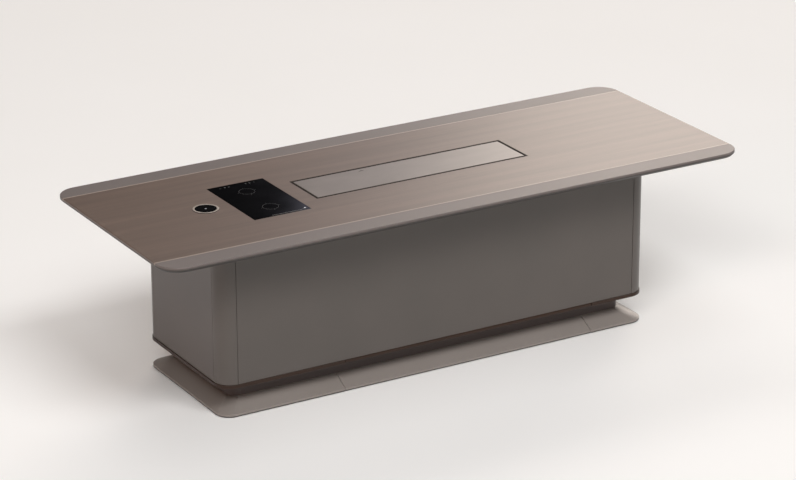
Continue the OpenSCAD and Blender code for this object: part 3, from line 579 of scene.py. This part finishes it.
# The strips carry painted shade under their edge and a strong painted highlight along their arrises.
strip_lacquer = lacquer("strip_lacquer", "#635a57", "#69605d", 0.42, wear_and_highlight=1.0,
                        painted_shade_height=edge_painted_shade_height, painted_shade_fade=edge_painted_shade_fade)
dress(["edge_strip_front", "edge_strip_back"], strip_lacquer, 0.0012)

# Tray. A satin slab of grey phenolic laminate lies loose in a dark anodised frame; water runs round its
# edge into a folded steel pan with a hose spigot.
tray_bar = anodised_bar("tray_anodised_bar", "#1d1715", "#2b2320", 0, 0.7)
dress(["tray_frame"], tray_bar, 0.0004)


def phenolic_slab(name, colour, light_colour):
    """Pressed phenolic laminate: dense, even grey with a satin-polished, slightly mirror-like face."""
    material, tree, shader, place = start_material(name, {"IOR": 1.5})
    cloud = noise(tree, place, (160, 60, 60), 5.0)
    specks = noise(tree, place, (2, 2, 2))
    speck_weight = 0.3
    both = add(tree, "ShaderNodeMath", {"operation": "MULTIPLY_ADD", 1: speck_weight}, {0: specks, 2: cloud})
    tone = two_tone(tree, colour, light_colour, spread(tree, both.outputs[0], 0.4, 0.9))
    tree.links.new(tone, shader.inputs["Base Color"])
    set_gloss(tree, shader, cloud, 0.26, 0.32)
    return material


dress(["tray_slab"], phenolic_slab("grey_phenolic", "#726a64", "#7d746f"), 0.0006)


def brushed_steel(name, colour, light_colour):
    """Brushed stainless sheet: bright, with fine lines along the pan that stretch its highlights."""
    material, tree, shader, place = start_material(name, {"Metallic": 1.0})
    # Grit lines of 0.1 mm, drawn 0.7 mm wide to show
    lines = noise(tree, place, (90, 0.7, 0.7), 3.0)
    tree.links.new(two_tone(tree, colour, light_colour, lines), shader.inputs["Base Color"])
    set_gloss(tree, shader, lines, 0.22, 0.36)
    emboss(tree, shader, lines, 0.15)
    return material


stainless = brushed_steel("brushed_stainless", "#b9b9b6", "#d2d1cd")
dress(["drain_pan"], stainless, 0.0004)
dress(["drain_spigot"], black_nylon, 0.0004)

# Strainer. A punched stainless disc that lies on the spigot's flange and keeps tea leaves out of the hose:
# one hole in the middle and two rings of holes round it.
spigot_low, spigot_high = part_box("drain_spigot")
strainer_radius, strainer_thick = 0.0145, 0.0008
hole_radius, hole_steps = 0.0009, 12
strainer_holes = [arc((0, 0), hole_radius, 0, 360, hole_steps)]
for ring_radius, count in ((0.0028, 6), (0.0054, 12)):
    for at in arc((0, 0), ring_radius, 0, 360, count):
        strainer_holes.append(arc(at, hole_radius, 0, 360, hole_steps))
strainer = cut_plate([arc((0, 0), strainer_radius, 0, 360, 48)] + strainer_holes, 0, strainer_thick)
strainer_place = (spigot_low + spigot_high) / 2
strainer_place.z = spigot_high.z
fit("drain_strainer", [strainer], [Matrix.Translation(strainer_place)], stainless, "cabinet",
    0.0001)


# Hob. A flush plate of black glass ceramic over a plastic housing. Two wound induction coils lie under
# the glass, one for each heating zone.
def glass_ceramic(name):
    """Black glass ceramic, float-smooth: a deep mirror that hides what lies under it."""
    material, tree, shader, place = start_material(name, {"IOR": 1.52})
    smear = noise(tree, place, (120, 70, 70), 4.0)
    tree.links.new(two_tone(tree, "#020203", "#050506", smear), shader.inputs["Base Color"])
    set_gloss(tree, shader, smear, 0.06, 0.13)
    return material


dress(["hob_glass"], glass_ceramic("black_glass_ceramic"), 0.0008)
dress(["hob_housing"], black_nylon, 0.0015)
dress(["hob_coils"], cloudy_metal("coil_copper", "#b06a3a", "#c98d63", 0.4), 0.0005)


def band(middle, inner, outer, start, sweep, steps=24):
    """The outline of a curved band between two radii, with its angles in degrees."""
    return arc(middle, outer, start, sweep, steps) + arc(middle, inner, start, sweep, steps)[::-1]


def ceramic_ink(name, colour, light_colour):
    """Ceramic ink fired on the glass: matt, pale and very slightly grainy."""
    material, tree, shader, place = start_material(name, {"Roughness": 0.5, "IOR": 1.5})
    # Print dots of 0.1 mm, drawn 0.6 mm wide to show
    dots = noise(tree, place, (0.6, 0.6, 0.6))
    tree.links.new(two_tone(tree, colour, light_colour, dots), shader.inputs["Base Color"])
    return material


# Touch marks. Plain signs for more, less and on, printed in ink along the host's edge of the glass, one set
# for each heating zone, and a plain line for a sliding finger along the other edge. A ring and four ticks
# mark each zone, and one pilot dot sits at the corner by the line.
glass_low, glass_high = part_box("hob_glass")
hob_middle = (glass_low + glass_high) / 2
ink_thick = 0.00006
mark_row = glass_high.y - 0.022
mark_size, mark_line = 0.007, 0.0011
power_off, less_off, more_off = 0.055, 0.020, 0.018
stroke_drop, stroke_high = mark_size * 0.35, mark_size * 0.55
marks = []
for side in (-1, 1):
    power = (hob_middle.x + side * power_off, mark_row)
    less = (power[0] + side * less_off, mark_row)
    more = (power[0] - side * more_off, mark_row)
    marks.append(band(power, mark_size / 2 - mark_line, mark_size / 2, -60, 300))
    marks.append(bar((power[0], power[1] - stroke_drop), mark_line, stroke_high))
    marks.append(bar(less, mark_size, mark_line))
    marks.append(cross(more, mark_size / 2, mark_line / 2))
slide_long, slide_wide = 0.140, 0.0016
slide_from_end, slide_from_edge = 0.025, 0.012
slide_at = (glass_high.x - slide_from_end - slide_long / 2, glass_low.y + slide_from_edge)
marks.append(bar(slide_at, slide_long, slide_wide))
pale_ink = ceramic_ink("pale_ceramic_ink", "#7c7b7a", "#8b8a89")
fit("touch_marks", [cut_plate(marks, glass_high.z, glass_high.z + ink_thick)], as_drawn, pale_ink,
    "cabinet")
zone_margin = 0.012
zone_radius, zone_line = 0.032, 0.001
tick_start, tick_end, tick_degrees = 0.034, 0.040, 2
zones = []
for side in (-1, 1):
    zone_at = (hob_middle.x, hob_middle.y + side * (glass_high.y - glass_low.y - zone_margin) / 4)
    zones.append(arc(zone_at, zone_radius, 0, 360, 64))
    zones.append(arc(zone_at, zone_radius - zone_line, 0, 360, 64))
    for at in (0, 90, 180, 270):
        zones.append(band(zone_at, tick_start, tick_end, at - tick_degrees / 2, tick_degrees, 2))
fit("zone_marks", [cut_plate(zones, glass_high.z, glass_high.z + ink_thick)], as_drawn,
    ceramic_ink("grey_ceramic_ink", "#242528", "#2b2c2f"), "cabinet")
pilot_at = (glass_high.x - 0.017, glass_low.y + 0.023)
pilot_radius = 0.0038
pilot = cut_plate([arc(pilot_at, pilot_radius, 0, 360, 24)], glass_high.z, glass_high.z + ink_thick)
fit("pilot_dot", [pilot], as_drawn, ceramic_ink("white_ceramic_ink", "#dcdde0", "#ebecef"),
    "cabinet")

# Fan guard. A moulded grille under the hob's housing for its cooling fan: a disc with four rings of
# slots, four slots to a ring.
housing_low, housing_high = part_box("hob_housing")
guard_at = ((housing_low.x + housing_high.x) / 2, (housing_low.y + housing_high.y) / 2)
guard_radius, guard_thick = 0.044, 0.002
slot_wide, slot_sweep = 0.003, 80
guard = [arc(guard_at, guard_radius, 0, 360, 64)]
for ring_radius in (0.011, 0.020, 0.029, 0.038):
    for start in (5, 95, 185, 275):
        guard.append(band(guard_at, ring_radius - slot_wide, ring_radius, start, slot_sweep, 12))
fit("fan_guard", [cut_plate(guard, housing_low.z - guard_thick, housing_low.z)], as_drawn, black_nylon,
    "cabinet", 0.0004)

# Socket. A satin aluminium ring lies on the top, painted shade darkening its bevel and side; a black tower
# with three outlets rises out of a sleeve that a big nut clamps from below.
# The ring's painted shade starts this far below its top.
ring_shade_drop = 0.0002
ring_metal = anodised_bar("ring_anodised", "#a29b94", "#b6afa8", 0, 0.42,
                          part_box("socket_flange")[1].z - ring_shade_drop)
dress(["socket_flange"], ring_metal, 0.0003)
dress(["socket_sleeve", "socket_nut", "socket_tower"], black_nylon, 0.0006)
dress(["socket_cap"], moulded_plastic("gloss_black_cap", "#060607", "#0d0d0e", 0.1), 0.0008)
dress(["socket_outlets"], moulded_plastic("outlet_polycarbonate", "#cfcfcb", "#dadad6", 0.3), 0.0006)

# Finger mark. A small pale printed dot in the middle of the cap, where a finger presses to raise the
# tower; it rides up with it.
cap_low, cap_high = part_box("socket_cap")
cap_at = ((cap_low.x + cap_high.x) / 2, (cap_low.y + cap_high.y) / 2)
finger_mark_radius = 0.0036
finger_mark = [arc(cap_at, finger_mark_radius, 0, 360, 24)]
fit("finger_mark", [cut_plate(finger_mark, cap_high.z, cap_high.z + ink_thick)], as_drawn,
    ceramic_ink("finger_mark_ink", "#a3a5a9", "#b4b6ba"), "socket_tower")
